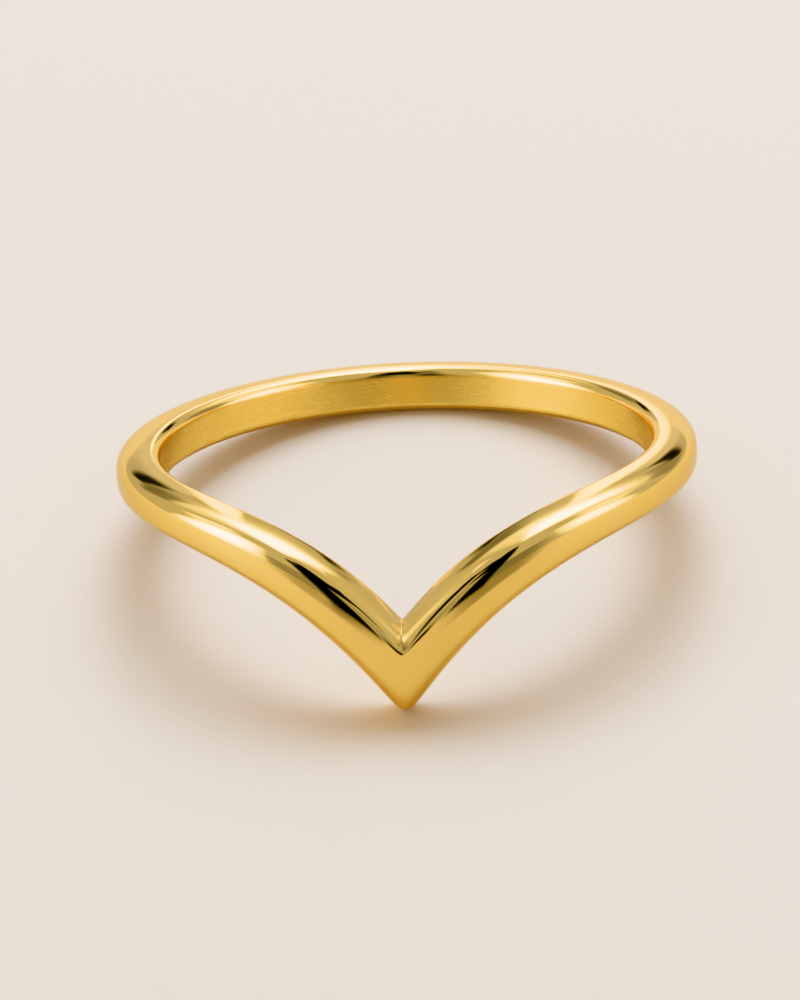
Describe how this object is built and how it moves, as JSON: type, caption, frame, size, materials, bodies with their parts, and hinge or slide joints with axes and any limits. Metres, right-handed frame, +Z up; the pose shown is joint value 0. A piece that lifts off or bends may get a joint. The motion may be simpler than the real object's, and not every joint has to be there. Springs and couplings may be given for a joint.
{
  "type": "chevron ring",
  "caption": "Plain polished gold finger ring whose round band dips to a point at the front, lying on its point and its back.",
  "frame": {"origin": "on the surface the ring lies on, below the middle of its outline", "axes": "+Z up from that surface, -Y towards the ring's point, +X to the right of the point"},
  "size_m": [0.0204, 0.0212, 0.006],
  "materials": {
    "gold": "mirror-polished yellow gold with fine hairline scratches"
  },
  "bodies": {
    "root": {"band": "gold"}
  },
  "joints": []
}
